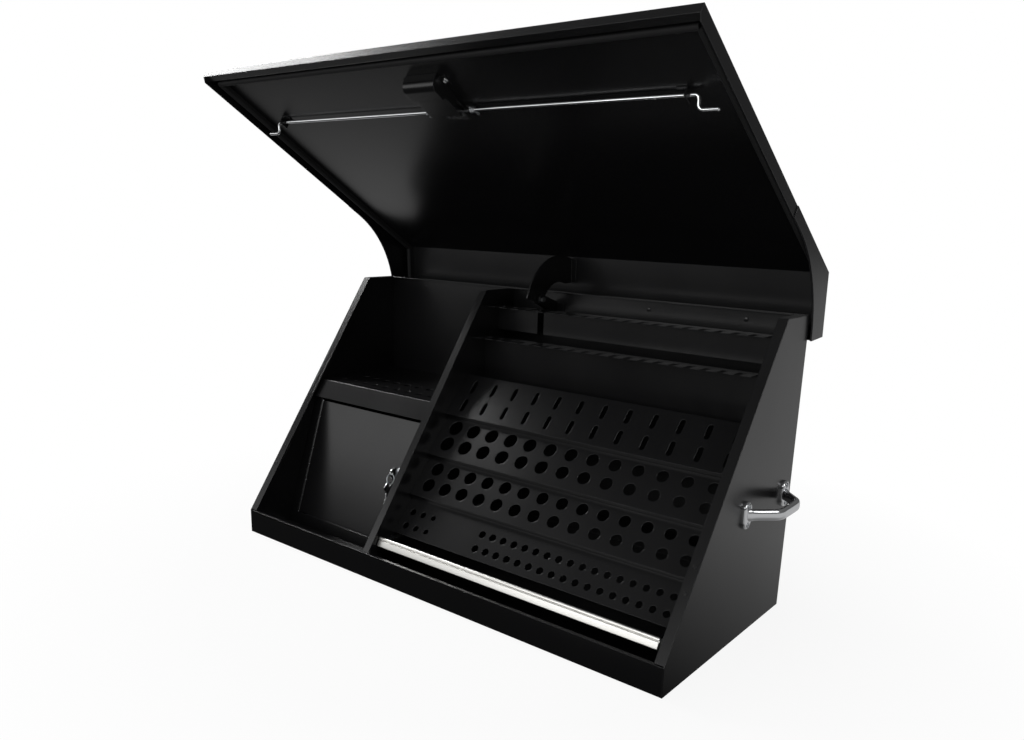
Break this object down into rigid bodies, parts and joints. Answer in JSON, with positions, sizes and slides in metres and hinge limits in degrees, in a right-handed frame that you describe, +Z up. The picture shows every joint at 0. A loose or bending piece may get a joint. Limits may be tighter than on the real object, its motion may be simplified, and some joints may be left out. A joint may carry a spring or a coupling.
{
  "type": "triangle tool chest",
  "caption": "Black steel tool chest with a sloping front, socket tiers, wrench racks, a locker, a bin, a shallow drawer and a hinged lid held by latch rods.",
  "frame": {"origin": "centre of the base, on the underside of the floor panel", "axes": "X to the right as seen from the front, Y to the back, Z up"},
  "size_m": [0.992, 0.4798, 0.8301],
  "materials": {
    "black_steel": "black powder coat, low gloss",
    "zinc_plate": "bright zinc plate",
    "chrome_plate": "polished chrome",
    "alloy": "satin anodised",
    "seal_rubber": "matt"
  },
  "bodies": {
    "case": {"left_side": "black_steel", "right_side": "black_steel", "back_panel": "black_steel", "floor_panel": "black_steel", "front_lip": "black_steel", "partition": "black_steel", "bin_shelf": "black_steel", "locker_frame": "black_steel", "lower_tier": "black_steel", "middle_tier": "black_steel", "upper_tier": "black_steel", "slotted_tier": "black_steel", "lower_rack": "black_steel", "upper_rack": "black_steel", "left_channel": "zinc_plate", "right_channel": "zinc_plate", "channel_bracket": "black_steel", "hinge_case_leaf": "black_steel", "hinge_pin": "zinc_plate", "hinge_rivets": "black_steel", "stay_clamp": "black_steel", "stay_pads": "seal_rubber", "stay_bolt": "zinc_plate", "left_handle": "chrome_plate", "right_handle": "chrome_plate", "handle_screws": "zinc_plate", "left_keeper": "black_steel", "right_keeper": "black_steel", "keeper_screws": "black_steel", "locker_case_leaf": "black_steel", "locker_hinge_pin": "zinc_plate"},
    "lid": {"lid_shell": "black_steel", "left_cheek": "black_steel", "right_cheek": "black_steel", "lid_seal": "seal_rubber", "hinge_lid_leaf": "black_steel", "stay_quadrant": "black_steel", "latch_housing": "black_steel", "latch_rose": "chrome_plate", "rod_guides": "black_steel", "latch_screws": "chrome_plate"},
    "latch": {"latch_handle": "chrome_plate", "latch_crank": "zinc_plate", "crank_pins": "chrome_plate"},
    "latch_plug": {"latch_plug": "zinc_plate"},
    "left_rod": {"left_rod": "chrome_plate"},
    "right_rod": {"right_rod": "chrome_plate"},
    "drawer": {"drawer_tray": "black_steel", "drawer_pull": "alloy", "left_rail": "zinc_plate", "right_rail": "zinc_plate"},
    "locker_door": {"locker_door": "black_steel", "locker_door_leaf": "black_steel", "lock_barrel": "zinc_plate", "lock_nut": "zinc_plate"},
    "lock": {"lock_plug": "zinc_plate", "lock_cam": "zinc_plate", "lock_key": "chrome_plate", "key_ring": "zinc_plate", "spare_key": "chrome_plate"}
  },
  "joints": [
    {"name": "lid_hinge", "type": "hinge", "parent": "case", "child": "lid", "pos_m": [0, 0.197, 0.4425], "axis": [-1, 0, 0], "range_deg": [-87, 0]},
    {"name": "drawer_slide", "type": "slide", "parent": "case", "child": "drawer", "axis": [0, -1, 0], "range_m": [0, 0.2]},
    {"name": "door_hinge", "type": "hinge", "parent": "case", "child": "locker_door", "pos_m": [-0.4248, -0.09787, 0.02409], "axis": [0, -0.309, -0.9511], "range_deg": [0, 90]},
    {"name": "lock_turn", "type": "hinge", "parent": "locker_door", "child": "lock", "pos_m": [-0.1735, -0.05934, 0.14511], "axis": [0, 0.9511, -0.309], "range_deg": [0, 90]},
    {"name": "latch_turn", "type": "hinge", "parent": "lid", "child": "latch", "pos_m": [0, -0.12163, 0.76207], "axis": [0, -0.5293, -0.8485], "range_deg": [0, 90]},
    {"name": "latch_plug_turn", "type": "hinge", "parent": "latch", "child": "latch_plug", "pos_m": [0, -0.12163, 0.76207], "axis": [0, -0.5293, -0.8485], "range_deg": [0, 90]},
    {"name": "right_rod_slide", "type": "slide", "parent": "lid", "child": "right_rod", "axis": [1, 0, 0], "range_m": [-0.0001, 0.0145]},
    {"name": "left_rod_slide", "type": "slide", "parent": "lid", "child": "left_rod", "axis": [-1, 0, 0], "range_m": [-0.0001, 0.0145]}
  ],
  "couplings": [
    {"joint": "right_rod_slide", "follows": "latch_turn", "m_per_rad": 0.0089127},
    {"joint": "left_rod_slide", "follows": "latch_turn", "m_per_rad": 0.0089127}
  ]
}
